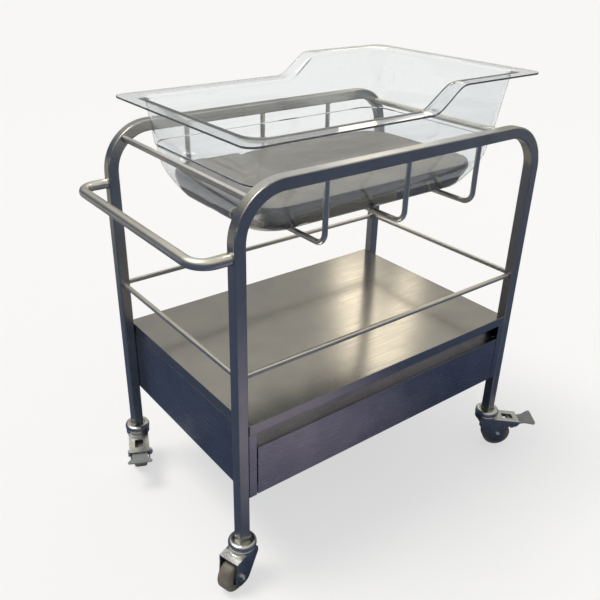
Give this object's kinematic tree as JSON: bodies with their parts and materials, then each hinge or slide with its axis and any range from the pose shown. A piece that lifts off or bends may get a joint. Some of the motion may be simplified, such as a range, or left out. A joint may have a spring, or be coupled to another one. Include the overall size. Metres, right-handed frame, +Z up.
{
  "type": "hospital bassinet trolley",
  "caption": "Hospital bassinet: clear basin with mattress on a stainless tube trolley with shelf, drawer cabinet, push handle and swivel casters.",
  "frame": {"origin": "on the floor, below the middle of the tube frame", "axes": "+X towards the head end of the basin, -Y towards the drawer front, +Z up"},
  "size_m": [0.8895, 0.5535, 0.8795],
  "materials": {
    "stainless_tube": "satin brushed stainless steel tube and rod",
    "stainless_sheet": "satin brushed stainless steel sheet",
    "zinc_plate": "bright zinc plated pressed steel",
    "pedal_grey": "light grey enamelled steel",
    "tyre_rubber": "dark grey rubber tread",
    "hub_plastic": "moulded dark grey polypropylene",
    "roller_nylon": "white nylon",
    "plug_plastic": "black moulded insert",
    "clear_plastic": "clear vacuum formed acrylic",
    "mattress_cover": "wipe-clean coated fabric over foam"
  },
  "bodies": {
    "trolley": {"side_frame_near": "stainless_tube", "side_frame_far": "stainless_tube", "cross_rod_foot": "stainless_tube", "cross_rod_head": "stainless_tube", "push_handle": "stainless_tube", "guard_rod_near": "stainless_tube", "guard_rod_far": "stainless_tube", "guard_rod_foot": "stainless_tube", "guard_rod_head": "stainless_tube", "cradle_rod_foot": "stainless_tube", "cradle_rod_middle": "stainless_tube", "cradle_rod_head": "stainless_tube", "cabinet_top": "stainless_sheet", "cabinet_side_foot": "stainless_sheet", "cabinet_side_head": "stainless_sheet", "cabinet_back": "stainless_sheet", "cabinet_base": "stainless_sheet", "drawer_runner_foot": "zinc_plate", "drawer_runner_head": "zinc_plate", "runner_roller_studs": "zinc_plate", "leg_plugs": "plug_plastic", "caster_head_near_foot": "zinc_plate", "caster_head_far_foot": "zinc_plate", "caster_head_near_head": "zinc_plate", "caster_head_far_head": "zinc_plate"},
    "caster_near_foot": {"caster_fork_near_foot": "zinc_plate", "caster_axle_near_foot": "zinc_plate"},
    "wheel_near_foot": {"wheel_tyre_near_foot": "tyre_rubber", "wheel_hub_near_foot": "hub_plastic"},
    "caster_far_foot": {"caster_fork_far_foot": "zinc_plate", "caster_axle_far_foot": "zinc_plate", "brake_pin_far_foot": "zinc_plate"},
    "wheel_far_foot": {"wheel_tyre_far_foot": "tyre_rubber", "wheel_hub_far_foot": "hub_plastic"},
    "pedal_far_foot": {"brake_pedal_far_foot": "pedal_grey"},
    "caster_near_head": {"caster_fork_near_head": "zinc_plate", "caster_axle_near_head": "zinc_plate", "brake_pin_near_head": "zinc_plate"},
    "wheel_near_head": {"wheel_tyre_near_head": "tyre_rubber", "wheel_hub_near_head": "hub_plastic"},
    "pedal_near_head": {"brake_pedal_near_head": "pedal_grey"},
    "caster_far_head": {"caster_fork_far_head": "zinc_plate", "caster_axle_far_head": "zinc_plate"},
    "wheel_far_head": {"wheel_tyre_far_head": "tyre_rubber", "wheel_hub_far_head": "hub_plastic"},
    "drawer": {"drawer_front": "stainless_sheet", "drawer_box": "stainless_sheet", "drawer_roller_studs": "zinc_plate"},
    "front_roller_foot": {"runner_roller_foot": "roller_nylon"},
    "rear_roller_foot": {"drawer_roller_foot": "roller_nylon"},
    "front_roller_head": {"runner_roller_head": "roller_nylon"},
    "rear_roller_head": {"drawer_roller_head": "roller_nylon"},
    "basin": {"basin": "clear_plastic"},
    "mattress": {"mattress": "mattress_cover"}
  },
  "joints": [
    {"name": "swivel_near_foot", "type": "hinge", "parent": "trolley", "child": "caster_near_foot", "pos_m": [-0.353, -0.219, 0.082], "axis": [0, 0, 1], "continuous": true},
    {"name": "roll_near_foot", "type": "hinge", "parent": "caster_near_foot", "child": "wheel_near_foot", "pos_m": [-0.37978, -0.22719, 0.0325], "axis": [0.2924, -0.9563, 0], "continuous": true},
    {"name": "swivel_far_foot", "type": "hinge", "parent": "trolley", "child": "caster_far_foot", "pos_m": [-0.353, 0.219, 0.082], "axis": [0, 0, 1], "continuous": true},
    {"name": "roll_far_foot", "type": "hinge", "parent": "caster_far_foot", "child": "wheel_far_foot", "pos_m": [-0.36439, 0.19342, 0.0325], "axis": [0.9135, -0.4067, 0], "continuous": true},
    {"name": "brake_far_foot", "type": "hinge", "parent": "caster_far_foot", "child": "pedal_far_foot", "pos_m": [-0.37578, 0.16784, 0.065], "axis": [0.9135, -0.4067, 0], "range_deg": [0, 15]},
    {"name": "swivel_near_head", "type": "hinge", "parent": "trolley", "child": "caster_near_head", "pos_m": [0.353, -0.219, 0.082], "axis": [0, 0, 1], "continuous": true},
    {"name": "roll_near_head", "type": "hinge", "parent": "caster_near_head", "child": "wheel_near_head", "pos_m": [0.37565, -0.23546, 0.0325], "axis": [0.5878, 0.809, 0], "continuous": true},
    {"name": "brake_near_head", "type": "hinge", "parent": "caster_near_head", "child": "pedal_near_head", "pos_m": [0.39831, -0.25192, 0.065], "axis": [0.5878, 0.809, 0], "range_deg": [0, 15]},
    {"name": "swivel_far_head", "type": "hinge", "parent": "trolley", "child": "caster_far_head", "pos_m": [0.353, 0.219, 0.082], "axis": [0, 0, 1], "continuous": true},
    {"name": "roll_far_head", "type": "hinge", "parent": "caster_far_head", "child": "wheel_far_head", "pos_m": [0.33006, 0.20294, 0.0325], "axis": [0.5736, -0.8192, 0], "continuous": true},
    {"name": "drawer_slide", "type": "slide", "parent": "trolley", "child": "drawer", "axis": [0, -1, 0], "range_m": [0, 0.33]},
    {"name": "front_roller_turn_foot", "type": "hinge", "parent": "trolley", "child": "front_roller_foot", "pos_m": [-0.3185, -0.204, 0.2909], "axis": [1, 0, 0], "continuous": true},
    {"name": "rear_roller_turn_foot", "type": "hinge", "parent": "drawer", "child": "rear_roller_foot", "pos_m": [-0.322, 0.1728, 0.2665], "axis": [1, 0, 0], "continuous": true},
    {"name": "front_roller_turn_head", "type": "hinge", "parent": "trolley", "child": "front_roller_head", "pos_m": [0.3185, -0.204, 0.2909], "axis": [1, 0, 0], "continuous": true},
    {"name": "rear_roller_turn_head", "type": "hinge", "parent": "drawer", "child": "rear_roller_head", "pos_m": [0.322, 0.1728, 0.2665], "axis": [1, 0, 0], "continuous": true},
    {"name": "basin_lift", "type": "slide", "parent": "trolley", "child": "basin", "axis": [0, 0, 1], "range_m": [0, 0.18]},
    {"name": "mattress_lift", "type": "slide", "parent": "basin", "child": "mattress", "axis": [0, 0, 1], "range_m": [0, 0.23]}
  ],
  "couplings": [
    {"joint": "front_roller_turn_foot", "follows": "drawer_slide", "rad_per_m": 111.11},
    {"joint": "rear_roller_turn_foot", "follows": "drawer_slide", "rad_per_m": 87.719},
    {"joint": "front_roller_turn_head", "follows": "drawer_slide", "rad_per_m": 111.11},
    {"joint": "rear_roller_turn_head", "follows": "drawer_slide", "rad_per_m": 87.719}
  ]
}
